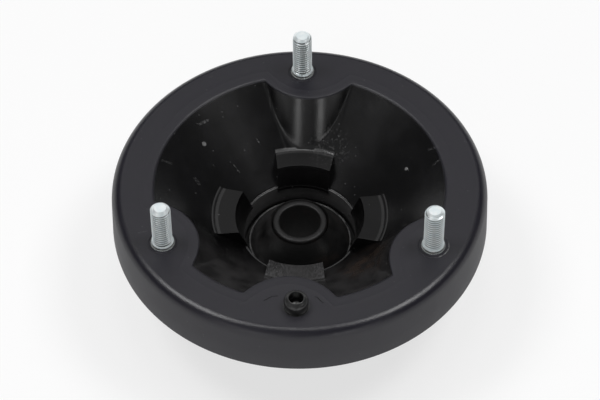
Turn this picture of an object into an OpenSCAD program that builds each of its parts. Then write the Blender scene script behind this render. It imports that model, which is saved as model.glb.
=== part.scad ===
// Upper mount of a suspension strut: a moulded dish on three studs that carries the damper rod
// in a rubber-sprung ball bearing. Millimetres, +Z up along the studs.
// The origin is the centre of the stud circle, on the rim's flat top face.

/* [Rim and skirt] */
// Diameter of the circle through the studs and the locating pin
stud_pcd = 122; // [114:0.5:130]
// Distance from the stud circle out to the rim's edge
rim_margin = 14; // [12:0.25:17]
// Thickness of the rim's flat top
rim_t = 5; // [4:0.25:6]
// Radius of the rounded outer edge
rim_round = 3.5; // [1:0.25:4.5]
// Height of the turned-down skirt
skirt_h = 21.4; // [16:0.2:26]
// Wall of the skirt
skirt_wall = 4; // [3:0.25:5]
// How far the skirt's foot stands out past the rim
skirt_flare = 0.5; // [0:0.1:1.5]
// Radius on both edges of the skirt's foot
skirt_edge = 1; // [0.4:0.1:1.4]

/* [Bowl] */
// Distance from the stud circle in to the bowl's mouth
mouth_set = 2.3; // [1:0.1:5]
// Depth of the conical bowl
bowl_depth = 27.2; // [24:0.2:31]
// Wall of the bowl
bowl_wall = 4.5; // [3:0.25:5.5]
// Width of the trough between the hub and the bowl's foot
trough_w = 3.1; // [2.6:0.1:5]
// Width of the bevel on the bowl's foot
foot_bevel = 1.1; // [0.4:0.1:1.4]
// Depth of the trough below the bowl's foot
trough_depth = 11.8; // [10:0.2:14]
// Gap between the hub and the trough's wall at its floor
trough_gap = 1.5; // [1.2:0.1:2.4]

/* [Bosses] */
// Distance from the stud circle in to a boss's edge at the rim
boss_in = 14.6; // [11:0.2:17]
// Radius of the half-round bosses
boss_r = 24.5; // [21:0.25:28]
// Lean of the bosses from the vertical
boss_lean = 32; // [26:0.5:36]
// Turn of the bosses and the pads from the studs
boss_turn = -2.5; // [-5:0.5:5]

/* [Stop pads] */
// Number of stop pads round the hub
pad_n = 4; // [2:1:5]
// Width of a pad at its upper edge by the hub
pad_w = 21; // [14:0.5:24]
// Angle at which each side of a pad widens towards the bowl
pad_taper = 9; // [0:0.5:14]
// Distance from the bowl's foot out to a pad's upper edge
pad_set = 1.9; // [1:0.1:4]
// Depth of the pads' tops below the rim
pad_drop = 19; // [15:0.2:22]
// Bevel on the pads' upper edges
pad_edge = 0.6; // [0.2:0.1:1]
// Gap between the pads' feet and the hub
pad_gap = 1.3; // [0.8:0.1:2.4]
// Depth of the pads' feet below the bowl's foot
pad_reach = 6; // [4:0.2:8]

/* [Studs and plate] */
// Thread diameter of the studs
stud_d = 8; // [6:0.5:9]
// Height of the studs above the rim
stud_h = 21.4; // [14:0.2:32]
// Bevel on the studs' ends
stud_bevel = 0.9; // [0.4:0.1:1.2]
// Diameter of the knurled collar
collar_d = 9.6; // [9.2:0.1:11]
// Height of the collar above the rim
collar_h = 2.2; // [0.6:0.1:4]
// Diameter of the studs' riveted heads
head_d = 13; // [12:0.5:15]
// Thickness of the studs' riveted heads
head_t = 3; // [2:0.25:4]
// Thickness of the stud plate
plate_t = 3; // [2:0.25:4]
// Clearance round the stud plate
plate_gap = 0.5; // [0.3:0.1:1]
// Clearance of the plate's tabs inside the bosses
tab_gap = 2.5; // [1.5:0.1:3]

/* [Locating pin] */
// Diameter of the pin
pin_d = 9.6; // [8.5:0.1:11]
// Height of the pin above the rim
pin_h = 5.4; // [4:0.1:9]
// Radius of the pin's rounded shoulder
pin_round = 1.9; // [0.8:0.1:2.2]
// Width of the pin's seat in the rim, round the pin
pin_seat = 0.4; // [0.2:0.1:1]
// Diameter of the shank that goes through the plate
pin_shank_d = 7; // [6:0.1:8]
// Diameter of the pin's hollow
pin_bore_d = 5.6; // [3:0.1:5.8]
// Depth of the pin's hollow
pin_bore_h = 6; // [3:0.2:8]
// Width and height of the pin's riveted foot
pin_foot = 1.5; // [0.8:0.1:2.5]

/* [Hub] */
// Wall of the hub round the bearing
hub_wall = 2.1; // [1.6:0.1:3]
// Depth of the hub's rim below the bowl's foot
hub_drop = 8.4; // [6:0.2:10]
// Rise of the hub's cone above its rim
hub_rise = 12.2; // [9:0.2:15]
// Width of the hub's lip round the sleeve
hub_lip = 0.4; // [0.2:0.1:1]
// Bevel on the hub's rim
hub_edge = 0.6; // [0.2:0.1:1.2]
// Depth of the bearing's seat below the hub's rim
seat_drop = 2.4; // [1.6:0.1:4]
// Height of the relief above the bearing
relief_h = 1.2; // [0.6:0.1:1.6]
// Thickness of the hub's flange
flange_t = 2; // [1.4:0.1:3]
// Length of the hub's wall below the retaining ring
hub_land = 3.5; // [2.6:0.1:5]
// Radial thickness of the rubber isolator
isolator_t = 7.9; // [6:0.1:10]
// Gap between the hub's flange and the neck
flange_gap = 1.5; // [1:0.1:2.5]
// Wall of the neck
neck_wall = 4.5; // [3:0.25:6]
// How far the neck stands below the hub and the collar
neck_over = 1.5; // [0.8:0.1:3]
// Bevel on the neck's foot
neck_edge = 1; // [0.3:0.1:1.4]

/* [Sleeve] */
// Bore for the damper rod
rod_bore_d = 16.5; // [14:0.1:18]
// Wall of the sleeve inside the bearing
sleeve_wall = 1.75; // [1.4:0.05:2.5]
// Width of the sleeve's shoulder on the bearing
shoulder_w = 1; // [0.6:0.1:1.4]
// How far the sleeve stands above the hub's lip
sleeve_proud = 0.4; // [0.1:0.1:2]
// Bevel on the sleeve's edges
sleeve_edge = 0.6; // [0.2:0.1:0.8]
// Length of the collar below the bearing
lower_collar_h = 5.5; // [4:0.1:7]
// Radial gap between the collar and the retaining ring
lower_collar_gap = 1; // [0.5:0.1:1.8]

/* [Bearing] */
// Radial section of the bearing
race_section = 9; // [8:0.1:11]
// Ball diameter
ball_d = 5.5; // [4.5:0.1:6]
// Number of balls
ball_n = 12; // [8:1:13]
// Depth of the ball grooves
groove_h = 1.2; // [0.9:0.05:1.4]
// Width of the cage beside the balls
cage_rim = 1; // [0.6:0.1:1.5]
// Free play between the cage and a seal
cage_play = 0.85; // [0.4:0.05:1.5]
// Thickness of a seal
seal_t = 0.8; // [0.5:0.1:1.2]
// Depth of a seal inside the bearing's face
seal_inset = 0.6; // [0.4:0.1:1]
// Thickness of the retaining ring
ring_t = 1.5; // [1:0.1:2]
// Radial width of the retaining ring
ring_w = 2.7; // [2:0.1:3.2]
// Depth of the retaining ring's groove
ring_groove = 0.9; // [0.5:0.1:1.1]
// Opening between the ends of the retaining ring
ring_open = 7; // [5:0.5:10]
// Radius of the retaining ring's eyes
ring_eye_r = 1.7; // [1.4:0.1:2]

/* [Clearances] */
// Gap between turning and fixed pieces
run_gap = 0.3; // [0.2:0.05:0.4]
// Radial gap between a ball and its groove
ball_gap = 0.02; // [0.01:0.01:0.05]
// Gap between a ball and its pocket
pocket_gap = 0.1; // [0.05:0.05:0.2]

/* [Hidden] */
$fn = 96;

rubber = [0.06, 0.06, 0.065];
black_steel = [0.09, 0.09, 0.095];
zinc = [0.72, 0.74, 0.78];
bright_steel = [0.62, 0.63, 0.65];
brass = [0.72, 0.55, 0.25];
soft_rubber = [0.12, 0.12, 0.12];

stud_angles = [90, 210, 330];
pin_angle = 270;
boss_angles = [for (a = concat(stud_angles, [pin_angle])) a + boss_turn];
cut = 1;

// Radii from the axis outwards
stud_circle_r = stud_pcd / 2;
bore_r = rod_bore_d / 2;
spigot_r = bore_r + sleeve_wall;
sleeve_r = spigot_r + shoulder_w;
pitch_r = spigot_r + race_section / 2;
ball_r = ball_d / 2;
groove_r = 1.04 * ball_r;
inner_land_r = pitch_r - ball_r + groove_h;
outer_land_r = pitch_r + ball_r - groove_h;
bearing_r = spigot_r + race_section;
ring_out_r = bearing_r + ring_groove;
ring_in_r = ring_out_r - ring_w;
ring_eye_in_r = ring_in_r - ring_eye_r;
lower_collar_r = ring_eye_in_r - lower_collar_gap;
hub_bore_r = sleeve_r + run_gap;
hub_r = bearing_r + hub_wall;
pad_foot_r = hub_r + pad_gap;
trough_r = hub_r + trough_gap;
foot_r = hub_r + trough_w;
pad_in_r = foot_r + pad_set;
neck_in_r = hub_r + isolator_t;
neck_out_r = neck_in_r + neck_wall;
flange_r = neck_in_r - flange_gap;
mouth_r = stud_circle_r - mouth_set;
rim_r = stud_circle_r + rim_margin;
skirt_in_r = rim_r - skirt_wall;

// The bowl's cone
bowl_slope = bowl_depth / (mouth_r - foot_r);
wall_across = bowl_wall / sin(atan(bowl_slope));
function bowl_z(r) = (r - mouth_r) * bowl_slope;
function bowl_r(z) = mouth_r + z / bowl_slope;

// Heights below the rim
foot_z = -bowl_depth;
trough_z = foot_z - trough_depth;
hub_rim_z = foot_z - hub_drop;
hub_lip_z = hub_rim_z + hub_rise;
sleeve_top_z = hub_lip_z + sleeve_proud;
seat_z = hub_rim_z - seat_drop;
cage_w = ball_d + 2 * cage_rim;
bearing_w = cage_w + 2 * (cage_play + seal_t + seal_inset);
bearing_z = seat_z - bearing_w;
ball_z = seat_z - bearing_w / 2;
ring_z = bearing_z - ring_t;
hub_foot_z = ring_z - hub_land;
flange_z = hub_foot_z + flange_t;
collar_foot_z = bearing_z - lower_collar_h;
neck_z = min(hub_foot_z, collar_foot_z) - neck_over;
plate_z = -rim_t - plate_t;

// A leaning boss, or the hollow in it when inset from its wall
module boss(angle, inset) {
    axis_r = stud_circle_r - boss_in + boss_r / cos(boss_lean);
    length = 2 * stud_pcd;
    rotate(angle)
        translate([axis_r, 0, 0])
            rotate([0, boss_lean, 0])
                cylinder(h = length, r = boss_r - inset, center = true);
}

module ring_band(r_in, r_out, z_low, z_high) {
    rotate_extrude()
        translate([r_in, z_low])
            square([r_out - r_in, z_high - z_low]);
}

// Section of a rounded upper edge
module quarter_round(r) {
    intersection() {
        circle(r);
        square(r);
    }
}

module rim_section() {
    foot_out_r = rim_r + skirt_flare;
    polygon([[mouth_r, 0], [rim_r - rim_round, 0], [rim_r - rim_round, -rim_round],
             [rim_r, -rim_round], [foot_out_r, skirt_edge - skirt_h],
             [foot_out_r - skirt_edge, -skirt_h], [foot_out_r - skirt_wall + skirt_edge, -skirt_h],
             [foot_out_r - skirt_wall, skirt_edge - skirt_h], [skirt_in_r, -rim_t],
             [mouth_r, -rim_t]]);
    translate([rim_r - rim_round, -rim_round])
        quarter_round(rim_round);
    for (r = [foot_out_r - skirt_edge, foot_out_r - skirt_wall + skirt_edge])
        translate([r, skirt_edge - skirt_h])
            circle(skirt_edge);
}

module bowl_section() {
    polygon([[mouth_r, 0], [mouth_r + wall_across, 0], [foot_r + wall_across, foot_z],
             [foot_r + wall_across, trough_z], [trough_r, trough_z],
             [foot_r - foot_bevel, foot_z - foot_bevel / 3], [foot_r, foot_z]]);
}

module neck_section() {
    inside = bowl_wall / 2;
    polygon([[neck_in_r, neck_z + neck_edge], [neck_in_r + neck_edge, neck_z],
             [neck_out_r - neck_edge, neck_z], [neck_out_r, neck_z + neck_edge],
             [neck_out_r, bowl_z(neck_out_r) - inside], [neck_in_r, bowl_z(neck_in_r) - inside]]);
}

module pad_section() {
    meet_r = bowl_r(-pad_drop);
    inside_r = foot_r + wall_across / 2;
    polygon([[pad_in_r + pad_edge, -pad_drop], [meet_r + cut, -pad_drop],
             [meet_r + cut, -pad_drop - cut], [inside_r, foot_z], [inside_r, foot_z - pad_reach],
             [pad_foot_r, foot_z - pad_reach], [pad_foot_r, foot_z - foot_bevel],
             [pad_in_r, -pad_drop - pad_edge]]);
}

// A pad from above, wider towards the bowl
module pad_plan() {
    axis_half = pad_w / 2 - pad_in_r * tan(pad_taper);
    mouth_half = axis_half + mouth_r * tan(pad_taper);
    polygon([[0, -axis_half], [mouth_r, -mouth_half], [mouth_r, mouth_half], [0, axis_half]]);
}

module stop_pads() {
    intersection() {
        rotate_extrude()
            pad_section();
        for (i = [0 : pad_n - 1])
            rotate(i * 360 / pad_n + boss_turn)
                translate([0, 0, trough_z])
                    linear_extrude(-trough_z)
                        pad_plan();
    }
}

// Bosses between the bowl's wall and the rim plane
module solid_bosses() {
    intersection() {
        rotate_extrude()
            polygon([[foot_r, 0], [mouth_r + cut, 0], [foot_r + cut, foot_z], [foot_r, foot_z]]);
        for (a = boss_angles)
            boss(a, 0);
    }
}

// Hollows of the bosses, open below
module boss_hollows() {
    intersection() {
        ring_band(foot_r, skirt_in_r, foot_z, -rim_t);
        for (a = boss_angles)
            boss(a, bowl_wall);
    }
}

module at_circle(angle) {
    rotate(angle)
        translate([stud_circle_r, 0, 0])
            children();
}

// Outline of the holes for the studs and the pin
module fastener_holes(stud_hole_d, pin_hole_d) {
    for (a = stud_angles)
        at_circle(a)
            circle(d = stud_hole_d);
    at_circle(pin_angle)
        circle(d = pin_hole_d);
}

module dish() {
    color(rubber) {
        difference() {
            union() {
                rotate_extrude() {
                    rim_section();
                    bowl_section();
                }
                solid_bosses();
            }
            boss_hollows();
            translate([0, 0, -rim_t - cut])
                linear_extrude(rim_t + 2 * cut)
                    fastener_holes(collar_d, pin_d + 2 * pin_seat);
        }
        rotate_extrude()
            neck_section();
        stop_pads();
    }
}

module stud_plate() {
    tab_z = plate_z + plate_t / 2;
    tab_centre_r = stud_circle_r - boss_in + boss_r / cos(boss_lean) + tab_z * tan(boss_lean);
    color(black_steel)
        translate([0, 0, plate_z])
            linear_extrude(plate_t)
                difference() {
                    circle(skirt_in_r - plate_gap);
                    difference() {
                        circle(bowl_r(-rim_t) + wall_across + plate_gap);
                        for (a = boss_angles)
                            rotate(a)
                                translate([tab_centre_r, 0])
                                    circle(boss_r - bowl_wall - tab_gap);
                    }
                    fastener_holes(stud_d, pin_shank_d);
                }
}

module stud(angle) {
    collar_r = collar_d / 2;
    stud_r = stud_d / 2;
    head_r = head_d / 2;
    color(zinc)
        at_circle(angle)
            rotate_extrude()
                polygon([[0, stud_h], [stud_r - stud_bevel, stud_h], [stud_r, stud_h - stud_bevel],
                         [stud_r, collar_h + collar_r - stud_r], [collar_r, collar_h],
                         [collar_r, -rim_t], [stud_r, -rim_t], [stud_r, plate_z],
                         [head_r, plate_z], [head_r, plate_z - head_t], [0, plate_z - head_t]]);
}

module stud_rear() { stud(stud_angles[0]); }

module stud_left() { stud(stud_angles[1]); }

module stud_right() { stud(stud_angles[2]); }

module locating_pin() {
    pin_r = pin_d / 2;
    shank_r = pin_shank_d / 2;
    bore_floor_z = pin_h - pin_bore_h;
    color(black_steel)
        at_circle(pin_angle)
            rotate_extrude()
                difference() {
                    union() {
                        translate([0, -rim_t])
                            square([pin_r + pin_seat, rim_t]);
                        square([pin_r, pin_h - pin_round]);
                        square([pin_r - pin_round, pin_h]);
                        translate([pin_r - pin_round, pin_h - pin_round])
                            quarter_round(pin_round);
                        translate([0, plate_z - pin_foot])
                            square([shank_r, plate_t + pin_foot + cut]);
                        translate([0, plate_z - pin_foot])
                            square([shank_r + pin_foot, pin_foot]);
                    }
                    polygon([[0, bore_floor_z], [pin_bore_d / 2, bore_floor_z + pin_bore_d / 2],
                             [pin_bore_d / 2, pin_h + cut], [0, pin_h + cut]]);
                }
}

module bearing_hub() {
    relief_r = (outer_land_r + bearing_r) / 2;
    color(black_steel)
        rotate_extrude()
            polygon([[hub_bore_r, hub_lip_z], [hub_bore_r + hub_lip, hub_lip_z],
                     [hub_r - hub_edge, hub_rim_z], [hub_r, hub_rim_z - hub_edge], [hub_r, flange_z],
                     [flange_r, flange_z], [flange_r, hub_foot_z], [bearing_r, hub_foot_z],
                     [bearing_r, ring_z], [ring_out_r, ring_z], [ring_out_r, bearing_z],
                     [bearing_r, bearing_z], [bearing_r, seat_z], [relief_r, seat_z],
                     [relief_r, seat_z + relief_h], [hub_bore_r, seat_z + relief_h]]);
}

module isolator_ring() {
    color(soft_rubber)
        ring_band(hub_r, neck_in_r, flange_z, trough_z);
}

// A bearing ring with its ball groove
module race(r_in, r_out, groove_centre_r) {
    color(bright_steel)
        rotate_extrude()
            difference() {
                translate([r_in, bearing_z])
                    square([r_out - r_in, bearing_w]);
                translate([groove_centre_r, ball_z])
                    circle(groove_r);
            }
}

module bearing_inner_ring() {
    race(spigot_r, inner_land_r, pitch_r + groove_r - ball_r - ball_gap);
}

module bearing_outer_ring() {
    race(outer_land_r, bearing_r, pitch_r - groove_r + ball_r + ball_gap);
}

module ball_circle(r) {
    for (i = [0 : ball_n - 1])
        rotate(i * 360 / ball_n)
            translate([pitch_r, 0, ball_z])
                sphere(r);
}

module bearing_balls() {
    color(bright_steel)
        ball_circle(ball_r);
}

module ball_cage() {
    color(brass)
        difference() {
            ring_band(inner_land_r + run_gap, outer_land_r - run_gap, ball_z - cage_w / 2, ball_z + cage_w / 2);
            ball_circle(ball_r + pocket_gap);
        }
}

module seal(z_low) {
    color(soft_rubber)
        ring_band(inner_land_r + run_gap, outer_land_r, z_low, z_low + seal_t);
}

module upper_seal() { seal(seat_z - seal_inset - seal_t); }

module lower_seal() { seal(bearing_z + seal_inset); }

module retaining_ring() {
    eye_x = ring_open / 2 + ring_eye_r;
    eye_y = -sqrt(ring_in_r * ring_in_r - eye_x * eye_x);
    color(bright_steel)
        translate([0, 0, ring_z])
            linear_extrude(ring_t)
                difference() {
                    union() {
                        difference() {
                            circle(ring_out_r);
                            circle(ring_in_r);
                            translate([-ring_open / 2, -ring_out_r - cut])
                                square([ring_open, ring_out_r]);
                        }
                        for (side = [-1, 1])
                            translate([side * eye_x, eye_y])
                                circle(ring_eye_r);
                    }
                    for (side = [-1, 1])
                        translate([side * eye_x, eye_y])
                            circle(ring_eye_r / 2);
                }
}

module rod_sleeve() {
    color(bright_steel)
        rotate_extrude()
            polygon([[bore_r, sleeve_top_z - sleeve_edge], [bore_r + sleeve_edge, sleeve_top_z],
                     [sleeve_r - sleeve_edge, sleeve_top_z], [sleeve_r, sleeve_top_z - sleeve_edge],
                     [sleeve_r, seat_z], [spigot_r, seat_z], [spigot_r, collar_foot_z],
                     [bore_r + sleeve_edge, collar_foot_z], [bore_r, collar_foot_z + sleeve_edge]]);
}

module lower_collar() {
    color(bright_steel)
        rotate_extrude()
            polygon([[spigot_r, bearing_z], [lower_collar_r, bearing_z],
                     [lower_collar_r, collar_foot_z + sleeve_edge],
                     [lower_collar_r - sleeve_edge, collar_foot_z], [spigot_r, collar_foot_z]]);
}

dish();
stud_plate();
stud_rear();
stud_left();
stud_right();
locating_pin();
bearing_hub();
isolator_ring();
bearing_outer_ring();
bearing_balls();
ball_cage();
bearing_inner_ring();
upper_seal();
lower_seal();
retaining_ring();
rod_sleeve();
lower_collar();
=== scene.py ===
import math

import bpy
import numpy as np
from mathutils import Matrix, Vector


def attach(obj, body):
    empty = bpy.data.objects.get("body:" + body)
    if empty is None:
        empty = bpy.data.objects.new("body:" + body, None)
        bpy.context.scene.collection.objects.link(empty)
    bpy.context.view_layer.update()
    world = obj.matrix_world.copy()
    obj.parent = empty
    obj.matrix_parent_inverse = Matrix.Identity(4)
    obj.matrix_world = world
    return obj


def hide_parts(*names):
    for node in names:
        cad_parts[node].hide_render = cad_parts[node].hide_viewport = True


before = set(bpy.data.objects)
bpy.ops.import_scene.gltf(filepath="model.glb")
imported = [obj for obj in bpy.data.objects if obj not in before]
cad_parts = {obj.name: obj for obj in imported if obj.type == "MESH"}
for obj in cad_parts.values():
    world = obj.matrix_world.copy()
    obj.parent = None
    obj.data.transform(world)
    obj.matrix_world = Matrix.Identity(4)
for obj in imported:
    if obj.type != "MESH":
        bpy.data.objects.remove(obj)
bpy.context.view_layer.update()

MM = 0.001
TURN = 2 * math.pi

# Sizes of the mount in millimetres, from the axis outwards and down from the rim
STUD_CIRCLE_R = 61
STUD_ANGLES = {"stud_rear": 90, "stud_left": 210, "stud_right": 330}
PIN_ANGLE = 270
BOSS_TURN = -2.5
BOSS_ANGLES = [a + BOSS_TURN for a in (*STUD_ANGLES.values(), PIN_ANGLE)]
PAD_ANGLES = [a + BOSS_TURN for a in (0, 90, 180, 270)]
BOSS_R = 24.5
BOSS_WALL = 4.5
BOSS_LEAN = math.radians(32)
BOSS_EDGE_R = 46.4
BOSS_AXIS_R = BOSS_EDGE_R + BOSS_R / math.cos(BOSS_LEAN)
MOUTH_R = 58.7
FOOT_R = 24.2
FOOT_Z = -27.2
TROUGH_Z = -39
BOWL_SLOPE = 27.2 / 34.5
WALL_ACROSS = 7.268
RIM_R = 75
RIM_ROUND = 4.7
RIM_FLAT_R = RIM_R - RIM_ROUND
RIM_T = 5
SKIRT_IN_R = 71
SKIRT_EDGE_Z = -20.4
NECK_IN_R = 29
NECK_OUT_R = 33.5
NECK_Z = -57
PAD_TOP_Z = -19

# The flash line that the mould leaves on the rim
FLASH_SET = 4
FLASH_HALF_W = 0.3
FLASH_H = 0.02

# Distances below which points are merged
LINE_MERGE = 0.0005 * MM
SPIN_MERGE = 0.002 * MM
THREAD_MERGE = 0.01 * MM


def pick(piece):
    """Leaves one piece selected and active."""
    bpy.ops.object.select_all(action="DESELECT")
    piece.select_set(True)
    bpy.context.view_layer.objects.active = piece


def named(piece, name):
    piece.name = name
    piece.data.name = name
    return piece


def arc(centre_r, centre_z, radius, start, end, steps):
    """Points of a rounded edge, angles in degrees from the outward direction."""
    turns = [math.radians(start + (end - start) * i / steps) for i in range(steps + 1)]
    return [(centre_r + radius * math.cos(t), centre_z + radius * math.sin(t)) for t in turns]


def softened(section, radius, steps=3):
    """The same closed section with its corners rounded."""
    out = []
    count = len(section)
    for i, corner in enumerate(section):
        here, before, after = (Vector(p) for p in (corner, section[i - 1], section[(i + 1) % count]))
        back, ahead = before - here, after - here
        reach = min(radius, 0.4 * back.length, 0.4 * ahead.length)
        if back.angle(ahead) > math.radians(165) or here.x < 0.001:
            out.append(tuple(here))
            continue
        start, end = here + back.normalized() * reach, here + ahead.normalized() * reach
        for k in range(steps + 1):
            t = k / steps
            out.append(tuple(start * (1 - t) ** 2 + here * (2 * t * (1 - t)) + end * t * t))
    return out


def draw_line(section):
    """Turns the active plane into a line, drawn edge by edge in the XZ plane, and stays in edit mode."""
    bpy.ops.object.mode_set(mode="EDIT")
    bpy.ops.mesh.select_mode(type="VERT")
    bpy.ops.mesh.select_all(action="SELECT")
    bpy.ops.mesh.merge(type="CENTER")
    points = [Vector((r, 0, z)) * MM for r, z in section]
    bpy.ops.transform.translate(value=points[0])
    for here, there in zip(points, points[1:]):
        bpy.ops.mesh.extrude_region_move(TRANSFORM_OT_translate={"value": there - here})


def turned(name, section, steps=160):
    """A turned piece: the section is drawn edge by edge in the XZ plane and spun about the axis."""
    bpy.ops.object.select_all(action="DESELECT")
    bpy.ops.mesh.primitive_plane_add(size=MM)
    piece = named(bpy.context.object, name)
    draw_line(section + section[:1])
    bpy.ops.mesh.select_all(action="SELECT")
    bpy.ops.mesh.remove_doubles(threshold=LINE_MERGE)
    bpy.ops.mesh.spin(steps=steps, angle=TURN, center=(0, 0, 0), axis=(0, 0, 1))
    bpy.ops.mesh.select_all(action="SELECT")
    bpy.ops.mesh.remove_doubles(threshold=SPIN_MERGE)
    bpy.ops.mesh.normals_make_consistent(inside=False)
    bpy.ops.object.mode_set(mode="OBJECT")
    return piece


def cut_with(piece, tool, operation, solver="EXACT"):
    """Joins, cuts or trims a piece with a tool, which is used up."""
    pick(piece)
    bpy.ops.object.modifier_add(type="BOOLEAN")
    step = piece.modifiers[-1]
    step.operation = operation
    step.solver = solver
    step.object = tool
    bpy.ops.object.modifier_apply(modifier=step.name)
    bpy.data.objects.remove(tool)
    return piece


def copied(piece, name, angle, centre_r=0):
    """A copy with its own mesh, moved out from the axis and turned about it."""
    copy = piece.copy()
    copy.data = piece.data.copy()
    bpy.context.scene.collection.objects.link(copy)
    place = Matrix.Rotation(math.radians(angle), 4, "Z") @ Matrix.Translation((centre_r * MM, 0, 0))
    copy.data.transform(place)
    return named(copy, name)


def joined(pieces):
    pick(pieces[0])
    for piece in pieces:
        piece.select_set(True)
    bpy.ops.object.join()
    return pieces[0]


def round_edges(piece, width, segments, angle):
    pick(piece)
    bpy.ops.object.modifier_add(type="BEVEL")
    step = piece.modifiers[-1]
    step.width = width * MM
    step.segments = segments
    step.limit_method = "ANGLE"
    step.angle_limit = math.radians(angle)
    bpy.ops.object.modifier_apply(modifier=step.name)
    return piece


def smooth(piece, angle=30):
    pick(piece)
    bpy.ops.object.shade_smooth_by_angle(angle=math.radians(angle), keep_sharp_edges=False)
    return piece


def placed(piece, body, slot, *nodes):
    """Puts a finished piece on the body it rides on and hides the nodes it stands for; slot is not used."""
    if nodes:
        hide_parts(*nodes)
    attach(piece, body)
    return piece


def soft_min(a, b, reach):
    gap = max(reach - abs(a - b), 0) / reach
    return min(a, b) - gap * gap * reach / 4


def boss_edge_r(offset, grown=0.0):
    """Distance from the axis to a boss's edge on the rim, at an angle off the boss's middle."""
    along = BOSS_R / math.cos(BOSS_LEAN) + grown
    across = BOSS_R + grown
    a = (math.cos(offset) / along) ** 2 + (math.sin(offset) / across) ** 2
    b = -2 * BOSS_AXIS_R * math.cos(offset) / along ** 2
    c = (BOSS_AXIS_R / along) ** 2 - 1
    inside = b * b - 4 * a * c
    if inside < 0 or math.cos(offset) < 0:
        return 2 * MOUTH_R
    return (-b - math.sqrt(inside)) / (2 * a)


def boss_z(r, offset):
    """Height of a boss's leaning wall, or far below where there is none."""
    room = BOSS_R ** 2 - (r * math.sin(offset)) ** 2
    if room < 0 or math.cos(offset) < 0:
        return 2 * NECK_Z
    lean_in = (r * math.cos(offset) - BOSS_AXIS_R) * math.cos(BOSS_LEAN)
    return (lean_in + math.sqrt(room)) / math.sin(BOSS_LEAN)


def cone_z(r):
    return (r - MOUTH_R) * BOWL_SLOPE


def bowl_height(r, offset):
    """The bowl's surface: its cone and a boss, with a small fillet between them."""
    return -soft_min(-cone_z(r), -boss_z(r, offset), WALL_FILLET)


def eased(count):
    """Shares from 0 to 1 that stand closer together at both ends."""
    return [(1 - math.cos(math.pi * i / count)) / 2 for i in range(count + 1)]


# How finely the dish's inside is divided, from the rim inwards
RIM_RINGS = [1, 0.6, 0.25]
EDGE_SET = 0.45
EDGE_RINGS = 4
WALL_RINGS = 16
CONE_RINGS = 18
PLAIN_CREASE_R = 44
DISH_STEPS = 512

# Reach of the fillets between a boss and the cone, at the mouth's corners and along the flash line
WALL_FILLET = 1.1
MOUTH_FILLET = 1.6
FLASH_FILLET = 5


def dish_inside(angle):
    """Section of the dish from the rim's rounded edge in to the bowl's foot, at one angle."""
    offsets = [(math.radians(angle - a) + math.pi) % TURN - math.pi for a in BOSS_ANGLES]
    offset = min(offsets, key=abs)
    edge = soft_min(MOUTH_R, boss_edge_r(offset), MOUTH_FILLET)
    flash = soft_min(MOUTH_R + FLASH_SET, boss_edge_r(offset, -FLASH_SET), FLASH_FILLET)
    points = [(flash + FLASH_HALF_W + (RIM_FLAT_R - flash - FLASH_HALF_W) * k, 0) for k in RIM_RINGS]
    points += [(flash + FLASH_HALF_W, 0), (flash + 0.1, FLASH_H), (flash - 0.1, FLASH_H),
               (flash - FLASH_HALF_W, 0)]
    points += [((flash + edge) / 2, 0)]
    reach = EDGE_SET
    turn_in = (edge - reach, bowl_height(edge - reach, offset))
    start, corner, end = Vector((edge + reach, 0)), Vector((edge, 0)), Vector(turn_in)
    for k in range(EDGE_RINGS + 1):
        t = k / EDGE_RINGS
        points.append(tuple(start * (1 - t) ** 2 + corner * (2 * t * (1 - t)) + end * t * t))
    crease = PLAIN_CREASE_R
    if boss_z(edge - reach, offset) > cone_z(edge - reach):
        low, high = FOOT_R, edge - reach
        for _ in range(40):
            middle = (low + high) / 2
            if boss_z(middle, offset) > cone_z(middle):
                high = middle
            else:
                low = middle
        crease = high
    for share in eased(WALL_RINGS)[1:]:
        r = end.x + (crease - end.x) * share
        points.append((r, bowl_height(r, offset)))
    for share in eased(CONE_RINGS)[1:-1]:
        r = crease + (FOOT_R - crease) * share
        points.append((r, bowl_height(r, offset)))
    return points


def leaning_cylinder(radius):
    """A long cylinder along a boss's axis."""
    bpy.ops.object.select_all(action="DESELECT")
    bpy.ops.mesh.primitive_cylinder_add(
        vertices=128, radius=radius * MM, depth=0.2, location=(BOSS_AXIS_R * MM, 0, 0),
        rotation=(0, BOSS_LEAN, 0))
    bpy.ops.object.transform_apply(location=True, rotation=True, scale=True)
    return bpy.context.object


# The wedge that trims a stop pad: half widths at its upper edges, and how far it widens below
PAD_HALF_IN = 9.8
PAD_HALF_OUT = 13
PAD_SPREAD = 0.9
WEDGE_R = (20, 40)
WEDGE_Z = (-40, -10)
PAD_ROUND = 0.65


def make_stop_pad():
    """One stop pad, tapered towards the hub, with a fillet where its top runs into the bowl."""
    inside_r = FOOT_R + WALL_ACROSS / 2
    section = [(26.1, PAD_TOP_Z), (33, PAD_TOP_Z), (33.8, PAD_TOP_Z + 0.09), (34.6, PAD_TOP_Z + 0.36),
               (35.3, PAD_TOP_Z + 0.78), (36.5, PAD_TOP_Z + 0.8), (inside_r + 1, FOOT_Z),
               (inside_r, FOOT_Z - 6), (22.95, FOOT_Z - 2.3), (22.55, FOOT_Z - 1.9), (22.5, FOOT_Z - 1.3)]
    pad = turned("stop_pad", section, 256)
    bpy.ops.object.select_all(action="DESELECT")
    bpy.ops.mesh.primitive_cube_add(size=2 * MM)
    wedge = bpy.context.object
    for corner in wedge.data.vertices:
        outer, upper = corner.co.x > 0, corner.co.z > 0
        side = 1 if corner.co.y > 0 else -1
        half_w = (PAD_HALF_OUT if outer else PAD_HALF_IN) + (0 if upper else PAD_SPREAD)
        corner.co = Vector((WEDGE_R[outer], side * half_w, WEDGE_Z[upper])) * MM
    cut_with(pad, wedge, "INTERSECT")
    return round_edges(pad, PAD_ROUND, 4, 35)


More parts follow.
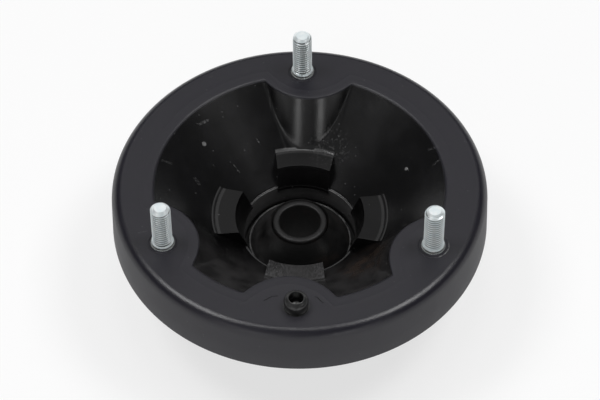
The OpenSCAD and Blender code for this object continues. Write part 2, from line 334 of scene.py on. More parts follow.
def stud_lip(name, angle, torn):
    """The lip that the rubber leaves round a stud's collar, wider where the collar has torn it."""
    reach = 1.35 if torn else 0.75
    section = [(4.3, -0.6), (4.3, 0.1), (4.95, 0.1), (4.95 + 0.5 * reach, 0.06),
               (4.85 + 0.8 * reach, 0.24), (4.95 + reach, 0.24), (5.1 + reach, 0.02), (5.1 + reach, -0.6)]
    lip = smooth(turned(name, softened(section, 0.1), 64), 40)
    ring = copied(lip, name, angle, STUD_CIRCLE_R)
    bpy.data.objects.remove(lip)
    return ring


def make_dish():
    """The moulded dish: a turned body pulled into four leaning bosses, with hollows below and stop pads."""
    steps = DISH_STEPS
    outer_wall_z = (NECK_OUT_R - WALL_ACROSS - MOUTH_R) * BOWL_SLOPE
    inside = dish_inside(BOSS_ANGLES[0] + 60)
    neck = [(NECK_OUT_R, outer_wall_z), (NECK_OUT_R, NECK_Z), (NECK_IN_R, NECK_Z), (NECK_IN_R, TROUGH_Z)]
    below = softened(neck, 0.9)[4:12]
    section = inside + [(FOOT_R, FOOT_Z), (24.12, -27.3), (24.06, -27.45), (24.02, -27.62), (23.93, -27.67),
                        (23.45, -27.7), (23.3, -27.74), (23.17, -27.86), (23.1, -28.1), (22.9, -33),
                        (22.6, TROUGH_Z), (NECK_IN_R, TROUGH_Z)]
    section += below[::-1]
    section += [(NECK_OUT_R, outer_wall_z), (45, (45 - WALL_ACROSS - MOUTH_R) * BOWL_SLOPE),
                (MOUTH_R - RIM_T / BOWL_SLOPE + WALL_ACROSS, -RIM_T), (SKIRT_IN_R, -RIM_T), (71.25, -13)]
    section += arc(72.5, SKIRT_EDGE_Z, 1, 180, 270, 5) + arc(74.5, SKIRT_EDGE_Z, 1, -90, 0, 5)
    section += [(75.25, -12)] + arc(RIM_FLAT_R, -RIM_ROUND, RIM_ROUND, 0, 90, 18)[:-1]
    dish = turned("moulded_dish", section, steps)

    co = np.zeros(len(dish.data.vertices) * 3)
    dish.data.vertices.foreach_get("co", co)
    co = co.reshape(-1, 3) / MM
    flat = np.stack([np.hypot(co[:, 0], co[:, 1]), co[:, 2]], 1)
    ring = np.argmin(((flat[:, None, :] - np.array(section)[None, :, :]) ** 2).sum(2), 1)
    column = np.round(np.degrees(np.arctan2(co[:, 1], co[:, 0])) / 360 * steps).astype(int) % steps
    insides = np.array([dish_inside(c * 360 / steps) for c in range(steps)])
    moved = ring < len(inside)
    angles = column[moved] * TURN / steps
    flat[moved] = insides[column[moved], ring[moved]]
    co[moved, 0] = flat[moved, 0] * np.cos(angles)
    co[moved, 1] = flat[moved, 0] * np.sin(angles)
    co[:, 2] = flat[:, 1]
    dish.data.vertices.foreach_set("co", (co * MM).ravel())
    dish.data.update()

    hollow_out_r = 70.9
    hollow_section = [(FOOT_R, -RIM_T), (hollow_out_r, -RIM_T), (hollow_out_r, FOOT_Z), (FOOT_R, FOOT_Z)]
    hollow_space = turned("hollow_space", hollow_section, 256)
    hollow = cut_with(leaning_cylinder(BOSS_R - BOSS_WALL), hollow_space, "INTERSECT")
    pad = make_stop_pad()
    pads = joined([copied(pad, "pad", a) for a in PAD_ANGLES])
    hollows = joined([copied(hollow, "hollow", a) for a in BOSS_ANGLES])
    for made in (pad, hollow):
        bpy.data.objects.remove(made)
    lips = joined([stud_lip("lip", angle, name == "stud_right") for name, angle in STUD_ANGLES.items()])
    cut_with(dish, lips, "UNION", "MANIFOLD")
    cut_with(dish, pads, "UNION", "MANIFOLD")
    cut_with(dish, hollows, "DIFFERENCE", "MANIFOLD")
    smooth(dish, 32)
    return placed(dish, "mount", "moulded_rubber", "dish")


COLLAR_R = 4.8
KNURL_DEPTH = 0.945
COLLAR_STEPS = ((5.25, 1), (0.2, 0.95), (0.05, 0.84), (0.5, 1), (0.05, 1.17), (0.5, 1), (0.25, 0.93),
                (0.05, 0.84), (0.6, 1))


def make_stud():
    """One stud on the axis: a rolled thread with a bevelled end, a knurled collar and a riveted head."""
    pitch, crest_r, root_r = 1.25, 3.92, 3.22
    low, bevel_z, high = 1.9, 20.1, 21.4
    turns, steps = 20, 48
    bevel_slope = 1.2
    bpy.ops.object.select_all(action="DESELECT")
    bpy.ops.mesh.primitive_plane_add(size=MM)
    stud = named(bpy.context.object, "stud")
    tooth = [(root_r, 0), (root_r, 0.16), (crest_r - 0.03, 0.54), (crest_r, 0.58), (crest_r, 0.67),
             (crest_r - 0.03, 0.71), (root_r, 1.09), (root_r, pitch)]
    draw_line([(r, z + low - 3 * pitch) for r, z in tooth])
    bpy.ops.object.mode_set(mode="OBJECT")
    bpy.ops.object.modifier_add(type="SCREW")
    coil = stud.modifiers[-1]
    coil.axis = "Z"
    coil.angle = TURN
    coil.screw_offset = pitch * MM
    coil.iterations = turns
    coil.steps = steps
    coil.render_steps = steps
    coil.use_merge_vertices = False
    bpy.ops.object.modifier_apply(modifier=coil.name)
    bpy.ops.object.mode_set(mode="EDIT")
    bpy.ops.mesh.select_all(action="SELECT")
    bpy.ops.mesh.remove_doubles(threshold=THREAD_MERGE)
    for height, cut_above, cut_below in ((high, True, False), (bevel_z, False, False), (low, False, True)):
        bpy.ops.mesh.select_all(action="SELECT")
        bpy.ops.mesh.bisect(plane_co=(0, 0, height * MM), plane_no=(0, 0, 1), use_fill=cut_above or cut_below,
                            clear_outer=cut_above, clear_inner=cut_below, threshold=0.0001 * MM)
    bpy.ops.mesh.select_all(action="SELECT")
    bpy.ops.mesh.normals_make_consistent(inside=False)
    bpy.ops.object.mode_set(mode="OBJECT")
    for vertex in stud.data.vertices:
        x, y, z = vertex.co / MM
        limit = crest_r - max(z - bevel_z, 0) * bevel_slope
        r = math.hypot(x, y)
        if r > limit:
            vertex.co.x *= limit / r
            vertex.co.y *= limit / r

    bpy.ops.object.select_all(action="DESELECT")
    bpy.ops.mesh.primitive_circle_add(
        vertices=88, radius=COLLAR_R * MM, fill_type="NGON", location=(0, 0, -RIM_T * MM))
    bpy.ops.object.transform_apply(location=True, rotation=True, scale=True)
    collar = named(bpy.context.object, "collar")
    for i, vertex in enumerate(collar.data.vertices):
        vertex.select = i % 2 == 0
    for edge in collar.data.edges:
        edge.select = False
    for face in collar.data.polygons:
        face.select = False
    bpy.ops.object.mode_set(mode="EDIT")
    bpy.ops.mesh.select_mode(type="VERT")
    bpy.ops.transform.resize(value=(KNURL_DEPTH, KNURL_DEPTH, 1))
    bpy.ops.mesh.select_mode(type="FACE")
    bpy.ops.mesh.select_all(action="SELECT")
    for rise, scale in COLLAR_STEPS:
        bpy.ops.mesh.extrude_region_move(TRANSFORM_OT_translate={"value": (0, 0, rise * MM)})
        bpy.ops.transform.resize(value=(scale, scale, 1))
    bpy.ops.mesh.select_all(action="SELECT")
    bpy.ops.mesh.normals_make_consistent(inside=False)
    bpy.ops.mesh.select_mode(type="VERT")
    bpy.ops.object.mode_set(mode="OBJECT")
    foot = softened([(0, -5), (4, -5), (4, -8), (6.5, -8), (6.5, -11), (0, -11)], 0.5)
    rivet = turned("rivet", foot, 64)
    smooth(rivet, 30)
    smooth(collar, 25)
    smooth(stud, 28)
    return joined([stud, collar, rivet])


def make_studs():
    stud = make_stud()
    studs = []
    for name, angle in STUD_ANGLES.items():
        piece = copied(stud, "threaded_" + name, angle, STUD_CIRCLE_R)
        studs.append(placed(piece, "mount", "zinc", name))
    bpy.data.objects.remove(stud)
    return studs


def make_pin():
    """The hollow locating pin, with its rounded shoulder and drilled point."""
    section = [(0, -9.5)] + softened([(0.1, -9.5), (5, -9.5), (5, -8), (3.5, -8)], 0.4)[4:12] + [(3.5, -8)]
    section += [(3.5, -5), (5.2, -5), (5.2, -0.1), (5.1, 0), (4.45, 0.02), (4.62, 0.7), (4.75, 1.5)]
    section += arc(2.95, 3.2, 1.85, 0, 60, 9)
    section += [(3.5, 5.05), (3.2, 5.3), (3.1, 5.38), (3.0, 5.4), (2.92, 5.34), (2.86, 5.2), (2.8, 4.6),
                (2.8, 1.9), (2.7, 1.7), (0.35, 0.1), (0, 0)]
    pin = turned("hollow_pin", section, 96)
    pin = smooth(pin, 40)
    pin.data.transform(Matrix.Translation((0, -STUD_CIRCLE_R * MM, 0)))
    return placed(pin, "mount", "black_steel", "locating_pin")


def make_hub():
    """The turned hub, with fine tool marks on its conical top."""
    section = [(11.3, -24.9)]
    marks = 34
    mark_depths = (0.0, 0.02, 0.006, 0.028, 0.012)
    lip, rim = Vector((11.95, -23.7)), Vector((19.85, -35.2))
    side = Vector((12.2, 8.8)).normalized()
    for i in range(marks + 1):
        depth = mark_depths[i % len(mark_depths)] * (1 if 0 < i < marks else 0)
        section.append(tuple(lip.lerp(rim, i / marks) - side * depth))
    section += arc(20.5, -35.7, 0.6, 155, 0, 9)
    foot = [(21.1, -36.2), (21.1, -53), (27.5, -53), (27.5, -55), (19, -55), (19, -51.5)]
    section += softened(foot, 0.35)[4:20]
    section += [(19, -51.5), (19.9, -51.5), (19.9, -50), (19, -50), (19, -38), (17.525, -38), (17.525, -36.8),
                (11.3, -36.8)]
    hub = smooth(turned("turned_hub", section, 192), 30)
    return placed(hub, "mount", "black_steel", "bearing_hub")


def make_sleeve():
    """The sleeve for the damper rod, with a rounded upper edge and a shoulder on the bearing."""
    section = [(8.25, -24), (8.3, -23.55), (8.48, -23.25), (8.8, -23.07), (9.3, -23), (9.9, -23.02),
               (10.4, -23.13), (10.8, -23.4), (11, -23.9), (11, -38), (10, -38), (10, -55.5), (8.9, -55.5),
               (8.35, -55.2), (8.25, -54.8)]
    sleeve = smooth(turned("rod_sleeve_turned", section, 160), 35)
    return placed(sleeve, "rotor", "worn_steel", "rod_sleeve")


class Val:
    """A value or colour in a finish's nodes, so that sums read as sums."""

    def __init__(self, finish, socket):
        self.finish = finish
        self.socket = socket

    def sum(self, operation, *others):
        return self.finish.node("ShaderNodeMath", {"operation": operation}, dict(enumerate((self,) + others)))

    def __add__(self, other):
        return self.sum("ADD", other)

    __radd__ = __add__

    def __sub__(self, other):
        return self.sum("SUBTRACT", other)

    def __rsub__(self, other):
        return self.finish.node("ShaderNodeMath", {"operation": "SUBTRACT"}, {0: other, 1: self})

    def __mul__(self, other):
        return self.sum("MULTIPLY", other)

    __rmul__ = __mul__

    def __pow__(self, other):
        return self.sum("POWER", other)

    def __abs__(self):
        return self.sum("ABSOLUTE")

    def above(self, other):
        return self.sum("MAXIMUM", other)

    def below(self, other):
        return self.sum("MINIMUM", other)

    def ramp(self, low, high):
        """0 below low, 1 above high, and smooth between. It falls where low is the larger."""
        if low > high:
            return 1 - self.ramp(high, low)
        return self.finish.node("ShaderNodeMapRange", {"interpolation_type": "SMOOTHSTEP"},
                                {"Value": self, "From Min": low, "From Max": high})


class Nodes:
    """The nodes of a finish or of the world."""

    def __init__(self, owner):
        owner.use_nodes = True
        self.tree = owner.node_tree

    def node(self, kind, settings, sockets, output=0):
        made = self.tree.nodes.new(kind)
        for name, value in settings.items():
            setattr(made, name, value)
        for name, value in sockets.items():
            if isinstance(value, Val):
                self.tree.links.new(value.socket, made.inputs[name])
            else:
                made.inputs[name].default_value = value
        return Val(self, made.outputs[output])

    def rays(self, *kinds):
        """1 for rays of these kinds."""
        path = self.node("ShaderNodeLightPath", {}, {}).socket.node
        return most([Val(self, path.outputs["Is %s Ray" % kind]) for kind in kinds])

    def show(self, share, hidden, shown):
        """Blends two surfaces or skies by a share, as the last step."""
        blend = self.node("ShaderNodeMixShader", {}, {0: share, 1: hidden, 2: shown})
        ends = ("ShaderNodeOutputMaterial", "ShaderNodeOutputWorld")
        last = next(n for n in self.tree.nodes if n.bl_idname in ends)
        self.tree.links.new(blend.socket, last.inputs["Surface"])


class Finish(Nodes):
    """A procedural finish. Lengths in its patterns are millimetres."""

    def __init__(self, name):
        self.material = bpy.data.materials.new(name)
        super().__init__(self.material)
        self.shader = self.tree.nodes["Principled BSDF"]
        self.place = self.node("ShaderNodeTexCoord", {}, {}, "Object")
        apart = self.node("ShaderNodeSeparateXYZ", {}, {"Vector": self.place}, "X").socket.node
        self.x, self.y, self.z = (Val(self, apart.outputs[i]) * (1 / MM) for i in range(3))
        self.r = (self.x * self.x + self.y * self.y) ** 0.5

    def noise(self, size, detail=3, rough=0.55, stretch=(1, 1, 1)):
        """Cloudy noise from 0 to 1 whose blotches are about this many millimetres."""
        scale = tuple(1 / (MM * s) for s in stretch)
        place = self.node("ShaderNodeMapping", {}, {"Vector": self.place, "Scale": scale})
        return self.node("ShaderNodeTexNoise", {},
                         {"Vector": place, "Scale": 1 / size, "Detail": detail, "Roughness": rough})

    def rings(self, along, detail, rough=0.5):
        """Noise that changes along one value only, such as the marks of a turning tool."""
        return self.node("ShaderNodeTexNoise", {"noise_dimensions": "1D"},
                         {"W": along, "Scale": 1.0, "Detail": detail, "Roughness": rough})

    def from_axis(self, x, y):
        """Distance from an upright axis."""
        return ((self.x - x) * (self.x - x) + (self.y - y) * (self.y - y)) ** 0.5

    def specks(self, spacing, size, share):
        """Sparse round specks."""
        cells = self.node("ShaderNodeTexVoronoi", {},
                          {"Vector": self.place, "Scale": 1 / (spacing * MM)}, "Distance")
        tint = Val(self, cells.socket.node.outputs["Color"])
        lot = self.node("ShaderNodeSeparateColor", {}, {"Color": tint})
        return cells.ramp(size, size * 0.5) * lot.ramp(1 - share, 1 - share + 0.02)

    def spot(self, centre, reach):
        """1 at a point, falling to 0 at a distance."""
        away = self.node("ShaderNodeVectorMath", {"operation": "DISTANCE"},
                         {0: self.place, 1: tuple(c * MM for c in centre)}, "Value")
        return (away * (1 / MM)).ramp(reach, reach * 0.4)

    def scuff(self, start, end, width):
        """1 on a streak between two points, falling to 0 at its sides."""
        a, b = Vector(start), Vector(end)
        line = b - a
        from_a = self.node("ShaderNodeVectorMath", {"operation": "SUBTRACT"},
                           {0: self.place, 1: tuple(a * MM)}, "Vector")
        along = self.node("ShaderNodeVectorMath", {"operation": "DOT_PRODUCT"},
                          {0: from_a, 1: tuple(line / line.length_squared / MM)}, "Value").above(0).below(1)
        foot = self.node("ShaderNodeVectorMath", {"operation": "SCALE"},
                         {0: tuple(line * MM), "Scale": along}, "Vector")
        away = self.node("ShaderNodeVectorMath", {"operation": "DISTANCE"}, {0: from_a, 1: foot}, "Value")
        return (away * (1 / MM)).ramp(width, width * 0.2)

    def mix(self, share, first, second):
        """A colour between two others, given as greys, triples or values."""
        colours = []
        for colour in (first, second):
            if isinstance(colour, (int, float)):
                colour = (colour,) * 3
            colours.append(colour if isinstance(colour, Val) else (*colour, 1))
        return self.node("ShaderNodeMix", {"data_type": "RGBA"}, {0: share, 6: colours[0], 7: colours[1]}, 2)

    def lay(self, colour, rough, metal=0.0, bump=None, depth=0.05, strength=1.0, **fixed):
        """Feeds the shader, with a bump height in shares of a depth in millimetres."""
        links = self.tree.links
        for name, value in (("Base Color", colour), ("Roughness", rough), ("Metallic", metal)):
            if isinstance(value, Val):
                links.new(value.socket, self.shader.inputs[name])
            else:
                self.shader.inputs[name].default_value = value
        if bump is not None:
            bent = self.node("ShaderNodeBump", {},
                             {"Strength": strength, "Distance": depth * MM, "Height": bump})
            links.new(bent.socket, self.shader.inputs["Normal"])
        for name, value in fixed.items():
            self.shader.inputs[name.replace("_", " ")].default_value = value
        return self.material


# Marks on the dish as start, end and width, and the mould's seam beside the rear boss
SCUFFS = [((-41.5, 34.5, -3.9), (-38.4, 37.0, -4.1), 0.9), ((-55.4, 12.8, -1.5), (-52.0, 13.6, -3.9), 0.8),
          ((-42.6, 11.8, -11.4), (-41.0, 10.6, -12.8), 1.2),
          ((-27.5, 24.3, -17.2), (-25.2, 22.6, -19.6), 0.4),
          ((-18.6, 36.2, -14.1), (-17.0, 34.6, -16.0), 0.35), ((51.8, 20.9, -2.2), (55.5, 20.6, 0), 0.8),
          ((53.5, 13.2, -2.8), (56.5, 14.6, -0.4), 0.7), ((-59.5, -25.0, 0), (-62.5, -25.9, 0), 0.6),
          ((-37.2, 57.5, 0), (-38.2, 57.1, 0), 0.6), ((-27.3, 65.5, 0), (-28.1, 65.1, 0), 0.4)]
CRACKS = [((-12.2, -58.3, 0), (-9.4, -56.4, 0), 0.28), ((-9.4, -56.4, 0), (-7.2, -56.2, 0), 0.16),
          ((7.2, -56.3, 0), (8.6, -57.0, 0), 0.2), ((8.4, -57.2, 0), (10.3, -59.2, 0), 0.28)]
SEAM = ((-16.4, 55.9, -0.3), (-6.2, 34.2, -18.9))


def on_circle(angle):
    """A point on the stud circle."""
    return STUD_CIRCLE_R * math.cos(math.radians(angle)), STUD_CIRCLE_R * math.sin(math.radians(angle))


def most(marks):
    """The strongest of several marks."""
    found = marks[0]
    for mark in marks[1:]:
        found = found.above(mark)
    return found


def moulded_rubber(name, shine):
    """Satin black rubber on the rim and the skirt, glossy and scuffed inside the bowl."""
    f = Finish(name)
    inside = f.z.ramp(-0.15, -0.9) * f.r.ramp(61.5, 60)
    rounding = f.r.ramp(70, 71) * f.z.ramp(-4.5, -3)
    cloud = f.noise(9, 4)
    grain = f.noise(0.35, 2)
    dust = most([f.specks(3.2, 0.1, 0.35), f.specks(1.3, 0.1, 0.2) * 0.55, f.specks(0.7, 0.12, 0.25) * 0.25])
    scuffs = most([f.scuff(*mark) for mark in SCUFFS]) * f.noise(0.5, 4, 0.7).ramp(0.45, 0.7)
    cracks = most([f.scuff(*mark) for mark in CRACKS])
    seam = f.scuff(*SEAM, 0.35)
    gates = f.spot((-39.4, 27.8, -8.2), 1.15).above(f.spot((42.8, 17.1, -9.9), 1.0))
    gates = gates * f.noise(0.5, 3, 0.7).ramp(0.25, 0.6)
    drag = f.noise(1.2, 4, 0.6, (1, 1, 9)).ramp(0.5, 0.75) * f.spot((12, 34, -16), 12)
    torn = f.spot((57.5, -33.5, 0), 6) * f.noise(0.9, 4, 0.7).ramp(0.4, 0.6)
    from_stud = f.from_axis(*on_circle(STUD_ANGLES["stud_right"]))
    torn = torn * from_stud.ramp(5.75, 5.95) * from_stud.ramp(6.4, 6.2)
    pad_top = f.z.ramp(PAD_TOP_Z - 0.06, PAD_TOP_Z - 0.02) * f.z.ramp(PAD_TOP_Z + 0.25, PAD_TOP_Z + 0.05)
    pad_top = pad_top * f.r.ramp(34, 33.4)
    # Wrinkles on the near pad's top, as bump and as a pale colour that is a painted highlight, stronger
    # towards the pad's sides.
    wrinkles_and_painted_sheen = pad_top * f.y.ramp(-20, -22) * f.noise(0.55, 3, 0.6, (1, 2.2, 1)).ramp(0.42, 0.6)
    wrinkles_and_painted_sheen = wrinkles_and_painted_sheen * (abs(f.x) * 0.085 + 0.15)
    # Dust on the near side of the bowl's inside.
    paler_patches = inside * f.y.ramp(-12, -36) * f.noise(8, 4, 0.5).ramp(0.1, 0.75)
    stain = f.spot((27, -27, -16), 17) * f.noise(7, 5, 0.6).ramp(0.32, 0.72)
    body = f.mix(inside, (0.0062, 0.0054, 0.0106), (0.0018, 0.0017, 0.0018))
    body = f.mix(cloud.ramp(0.4, 0.75) * 0.2, body, (0.011, 0.0106, 0.0122))
    body = f.mix(f.noise(3.5, 4, 0.65).ramp(0.5, 0.75) * (1 - inside) * 0.35, body, (0.012, 0.0108, 0.0155))
    body = f.mix(paler_patches * 0.8, body, (0.036, 0.0345, 0.035))
    trough = f.z.ramp(-27.3, -28.5) * f.r.ramp(25, 24.6) * f.r.ramp(22.68, 22.8)
    body = f.mix(trough * 0.8, body, (0.075, 0.0735, 0.0742))
    body = f.mix(stain * 0.6, body, (0.034, 0.02, 0.0125))
    pale = most([scuffs * 0.17, dust * 0.2 * inside, dust * 0.1, drag * 0.12, torn * 0.8])
    body = f.mix(pale, body, (0.33, 0.33, 0.33))
    body = f.mix(wrinkles_and_painted_sheen * 0.12, body, (0.3, 0.3, 0.31))
    body = f.mix(gates * 0.6, body, (0.3, 0.3, 0.3))
    body = f.mix(cracks * 0.9, body, (0.0008, 0.0008, 0.0008))
    rough = 0.4 - inside * 0.24 + cloud * 0.08 + scuffs * 0.25 + grain * 0.05 + cracks * 0.4 + stain * 0.1
    rough = rough + f.r.ramp(73.8, 74.6) * 0.09
    rough = rough + pad_top * (0.15 + f.x.ramp(10, 20) * 0.25 - f.x.ramp(-10, -20) * 0.12) - rounding * 0.15
    height = grain * 0.35 + f.noise(2.5, 3) * 0.8 + gates * 6 + scuffs * 0.8 - cracks * 9
    height = height + wrinkles_and_painted_sheen * 3 + seam * 2
    height = height + f.noise(0.6, 2, 0.6) * rounding * 1.6 + torn * 3
    return f.lay(body, rough, 0.0, height, 0.06, 0.6, Specular_IOR_Level=shine)


def soft_rubber():
    f = Finish("soft_rubber")
    cloud = f.noise(4, 4)
    body = f.mix(cloud.ramp(0.35, 0.7), 0.012, 0.022)
    return f.lay(body, 0.62 + cloud * 0.2, 0.0, f.noise(0.5, 3), 0.05, 0.6)


def black_steel():
    """Black coated steel with fine orange peel and a little wear."""
    f = Finish("black_steel")
    cloud = f.noise(7, 4)
    worn = f.noise(1.6, 5, 0.7).ramp(0.66, 0.76)
    body = f.mix(cloud.ramp(0.3, 0.75), 0.010, 0.019)
    body = f.mix(worn * 0.5, body, (0.16, 0.155, 0.15))
    return f.lay(body, 0.38 + cloud * 0.16 - worn * 0.05, worn * 0.6, f.noise(0.7, 3), 0.04, 0.5)


def turned_black():
    """The hub: black steel with rings left by the turning tool, paler towards the rear and the left, and
    brown in places.
    """
    f = Finish("turned_black")
    rings = f.rings(f.r * 2.6, 4.0, 0.7)
    cloud = f.noise(6, 4)
    edge = f.r.ramp(20.2, 20.5) * f.r.ramp(21.3, 20.9) * f.z.ramp(-36.6, -35.9)
    # Paler towards the rear and the left, less so on the right, and darker at the front.
    paler_patches = f.y.ramp(-14, -2).above(f.x.ramp(-9, -17)) * cloud.ramp(0.2, 0.6) * f.x.ramp(14, 2).above(0.4)
    body = f.mix(rings.ramp(0.4, 0.72) * 0.4, 0.0015, 0.006)
    body = f.mix(paler_patches * 0.75, body, (0.03, 0.029, 0.029))
    body = f.mix(cloud.ramp(0.5, 0.8) * f.x.ramp(4, 12) * 0.4, body, (0.024, 0.016, 0.012))
    body = f.mix(edge * f.noise(3, 3).ramp(0.3, 0.6) * 0.5, body, (0.2, 0.2, 0.2))
    return f.lay(body, 0.36 + rings * 0.14, edge * 0.4, rings, 0.03, 0.5, Specular_IOR_Level=0.3)


def pin_black():
    """The locating pin: glossy black, bare at its lip and in its drilled bottom, with painted shade on its
    bore's wall.
    """
    f = Finish("pin_black")
    off_axis = f.from_axis(0, -STUD_CIRCLE_R)
    drilled = f.z.ramp(2.2, 1.6) * off_axis.ramp(2.76, 2.65) * f.z.ramp(-0.5, -0.2)
    lip = f.z.ramp(5.2, 5.36) * off_axis.ramp(3.3, 3.1)
    cloud = f.noise(2.5, 4)
    body = f.mix(cloud.ramp(0.4, 0.75), 0.012, 0.024)
    body = f.mix(lip * 0.25, body, (0.1, 0.1, 0.1))
    # Painted shade on the inner wall of the pin's bore.
    body = f.mix(f.z.ramp(5, 4) * off_axis.ramp(2.95, 2.85), body, 0.004)
    body = f.mix(drilled * off_axis.ramp(1.9, 1.2), body, (0.2, 0.2, 0.195))
    return f.lay(body, 0.24 + cloud * 0.12, drilled * 0.9, f.noise(0.6, 3), 0.03, 0.5)


def zinc():
    """Bright zinc plating, a little blue, with painted shade in the thread's grooves, and dirty low on the
    collars.
    """
    f = Finish("zinc")
    cloud = f.noise(2.2, 4)
    fine = f.noise(0.25, 2)
    axes = [f.from_axis(*on_circle(angle)) for angle in STUD_ANGLES.values()]
    off_axis = axes[0].below(axes[1]).below(axes[2])
    # Painted shade in the thread's grooves.
    painted_groove_shade = off_axis.ramp(3.72, 3.42) * f.z.ramp(20.3, 20.0) * f.z.ramp(2.0, 2.4)
    knurl = most([off_axis.ramp(4.76, 4.6) * f.z.ramp(0.5, 0.3),
                  off_axis.ramp(4.52, 4.42) * f.z.ramp(0.4, 0.46) * f.z.ramp(1.1, 1.02),
                  off_axis.ramp(3.7, 3.55) * f.z.ramp(1.78, 1.84) * f.z.ramp(2.5, 2.3)])
    dirt = f.z.ramp(2.4, 0.5) * f.noise(1.2, 4, 0.65).ramp(0.3, 0.6)
    body = f.mix(cloud.ramp(0.3, 0.75), (0.80, 0.88, 0.90), (0.93, 0.97, 0.97))
    body = f.mix(painted_groove_shade * 0.85, body, (0.12, 0.13, 0.13))
    body = f.mix((dirt * 0.6).above(knurl * 0.95), body, (0.05, 0.043, 0.034))
    rough = 0.27 + fine * 0.1 + dirt * 0.25 + knurl * 0.3
    return f.lay(body, rough, 0.6 - (dirt * 0.3).above(knurl * 0.5), fine + cloud * 0.6, 0.03, 0.5)


def bare_steel(name, dark, light, roughness):
    """Turned or ground metal, with rings about the mount's axis."""
    f = Finish(name)
    rings = f.rings(f.r * 4 + f.z * 3, 3.0)
    cloud = f.noise(3, 4)
    body = f.mix(rings.ramp(0.35, 0.7) * 0.6 + cloud * 0.3, dark, light)
    return f.lay(body, roughness + cloud * 0.15, 1.0, rings, 0.03, 0.4)


def worn_steel():
    """The sleeve and the lower collar: dark steel, rubbed lighter on the sleeve's end and rusty below."""
    f = Finish("worn_steel")
    rings = f.rings(f.r * 5, 3.0)
    cloud = f.noise(2.2, 5, 0.65)
    top = f.z.ramp(-24.2, -23.2)
    rubbed = top * cloud.ramp(0.42, 0.62)
    rust = (1 - top) * f.noise(4, 5, 0.65).ramp(0.45, 0.75)
    body = f.mix(top, (0.002, 0.0017, 0.0017), (0.005, 0.0045, 0.0048))
    body = f.mix(rubbed, body, (0.012, 0.012, 0.012))
    body = f.mix(rust * 0.5, body, (0.014, 0.0075, 0.006))
    return f.lay(body, 0.65 - top * 0.25 + cloud * 0.14, rubbed * 0.25, rings + cloud, 0.03, 0.5,
                 Specular_IOR_Level=0.35)


def dressed(piece, finish):
    piece.data.materials.clear()
    piece.data.materials.append(finish)


# The camera of the photograph, in metres and millimetres of film
CAMERA_PLACE = (0.0190, -0.6404, 0.7619)
CAMERA_AIM = (0.00038, -0.00817, 0)
CAMERA_ROLL = math.radians(-0.66)
FOCAL_LENGTH = 150
FILM_WIDTH = 36


def make_camera():
    """The camera of the photograph, in the mount's own frame."""
    place, aim, roll = Vector(CAMERA_PLACE), Vector(CAMERA_AIM), CAMERA_ROLL
    ahead = (aim - place).normalized()
    right = ahead.cross(Vector((0, 0, 1))).normalized()
    up = right.cross(ahead)
    right, up = (right * math.cos(roll) + up * math.sin(roll),
                 up * math.cos(roll) - right * math.sin(roll))
    lens = bpy.data.cameras.new("camera")
    lens.lens = FOCAL_LENGTH
    lens.sensor_width = FILM_WIDTH
    lens.clip_start = 0.01
    lens.clip_end = 50
    camera = bpy.data.objects.new("camera", lens)
    bpy.context.scene.collection.objects.link(camera)
    turn = Matrix((right, up, -ahead)).transposed().to_4x4()
    camera.matrix_world = Matrix.Translation(place) @ turn
    bpy.context.scene.camera = camera


LAMP_AIM = (0, 0, -0.02)


def make_lamp(name, place, size, power):
    """A soft box that faces the middle of the mount."""
    lamp = bpy.data.lights.new(name, "AREA")
    lamp.shape = "RECTANGLE"
    lamp.size, lamp.size_y = size
    lamp.energy = power
    holder = bpy.data.objects.new(name, lamp)
    bpy.context.scene.collection.objects.link(holder)
    holder.location = place
    holder.rotation_euler = (Vector(LAMP_AIM) - Vector(place)).to_track_quat("-Z", "Y").to_euler()


# How high the white sweep reaches in reflections, how soft its edge is, and the fill light above it
SWEEP_TOP = 0.13
SWEEP_FADE = 0.06
FILL_STRENGTH = 0.08
# The floor's size in metres, its share of plain white where it is seen, and its own glow
FLOOR_SIZE = 6
PAPER_WHITE = 0.65
PAPER_GLOW = 0.12
# Lamps as name, place, size and power
LAMPS = [("rear_box", (0, 0.85, 1.0), (1.3, 0.8), 2.5),
         ("front_panel", (-0.4, -1.1, 0.75), (1.3, 1.0), 1.4),
         ("top_box", (0, 0.02, 1.4), (0.3, 0.35), 1.6),
         ("left_box", (-0.62, 0.02, 1.24), (0.5, 0.45), 7.4),
         ("right_box", (0.62, 0.02, 1.24), (0.5, 0.45), 7.4),
         ("left_strip", (-0.40, -1.0, 0.24), (0.18, 0.36), 0.56),
         ("right_strip", (0.44, -1.0, 0.24), (0.18, 0.36), 0.7),
         ("left_card", (-0.72, -0.90, 0.60), (0.3, 0.12), 0.35),
         ("right_card", (0.72, -0.90, 0.60), (0.3, 0.12), 0.35)]


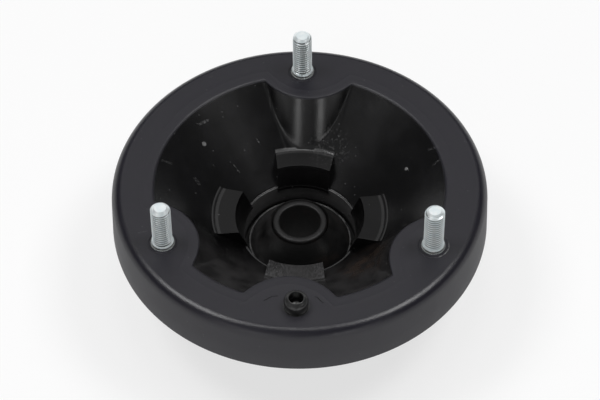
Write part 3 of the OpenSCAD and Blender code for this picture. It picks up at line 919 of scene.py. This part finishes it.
def make_studio():
    """White paper and a white sweep behind it, lit by soft boxes all round."""
    scene = bpy.context.scene
    scene.view_settings.view_transform = "Standard"
    world = bpy.data.worlds.new("studio")
    scene.world = world
    sky = Nodes(world)
    white = Val(sky, sky.tree.nodes["Background"].outputs[0])
    sky.tree.nodes["Background"].inputs["Color"].default_value = (1, 1, 1, 1)
    fill = sky.node("ShaderNodeBackground", {}, {"Color": (0.95, 0.97, 1, 1), "Strength": FILL_STRENGTH})
    way = sky.node("ShaderNodeTexCoord", {}, {}, "Generated")
    height = sky.node("ShaderNodeSeparateXYZ", {}, {"Vector": way}, "Z")
    sweep = height.ramp(SWEEP_TOP + SWEEP_FADE, SWEEP_TOP)
    sky.show(sky.rays("Camera").above(sky.rays("Glossy", "Transmission") * sweep), fill, white)

    bpy.ops.object.select_all(action="DESELECT")
    bpy.ops.mesh.primitive_plane_add(size=FLOOR_SIZE, location=(0, 0, NECK_Z * MM))
    floor = named(bpy.context.object, "floor")
    paper = Finish("paper")
    paper.lay((0.85, 0.85, 0.85, 1), 0.9, Specular_IOR_Level=0, Emission_Color=(1, 1, 1, 1),
              Emission_Strength=PAPER_GLOW)
    white = paper.node("ShaderNodeEmission", {}, {"Color": (1, 1, 1, 1), "Strength": 1})
    plain = Val(paper, paper.shader.outputs[0])
    shown = paper.rays("Camera", "Glossy", "Transmission") * PAPER_WHITE
    front = paper.node("ShaderNodeMixShader", {}, {0: shown, 1: plain, 2: white})
    clear = paper.node("ShaderNodeBsdfTransparent", {}, {})
    paper.show(paper.node("ShaderNodeNewGeometry", {}, {}, "Backfacing"), front, clear)
    dressed(floor, paper.material)
    for lamp in LAMPS:
        make_lamp(*lamp)


dish = make_dish()
studs = make_studs()
pin = make_pin()
hub = make_hub()
sleeve = make_sleeve()

dressed(dish, moulded_rubber("moulded_rubber", 0.5))
# The pads' flat tops are rubbed duller than the rest of the dish
PAD_FLAT_REACH = 0.1
PAD_FLAT_LEVEL = 0.995
dish.data.materials.append(moulded_rubber("rubbed_rubber", 0.24))
for face in dish.data.polygons:
    if abs(face.center.z / MM - PAD_TOP_Z) < PAD_FLAT_REACH and face.normal.z > PAD_FLAT_LEVEL:
        face.material_index = 1
plating = zinc()
for stud in studs:
    dressed(stud, plating)
dressed(pin, pin_black())
dressed(hub, turned_black())
worn = worn_steel()
dressed(sleeve, worn)
rubber = soft_rubber()
bearing = bare_steel("bearing_steel", (0.42, 0.43, 0.44), (0.62, 0.63, 0.64), 0.16)
finishes = {"stud_plate": black_steel(), "isolator_ring": rubber, "upper_seal": rubber, "lower_seal": rubber,
            "bearing_outer_ring": bearing, "bearing_inner_ring": bearing, "bearing_balls": bearing,
            "ball_cage": bare_steel("cage_brass", (0.45, 0.29, 0.10), (0.68, 0.48, 0.20), 0.28),
            "retaining_ring": bare_steel("spring_steel", (0.035, 0.035, 0.038), (0.09, 0.09, 0.095), 0.4),
            "lower_collar": worn}
for node, finish in finishes.items():
    dressed(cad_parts[node], finish)

make_camera()
make_studio()
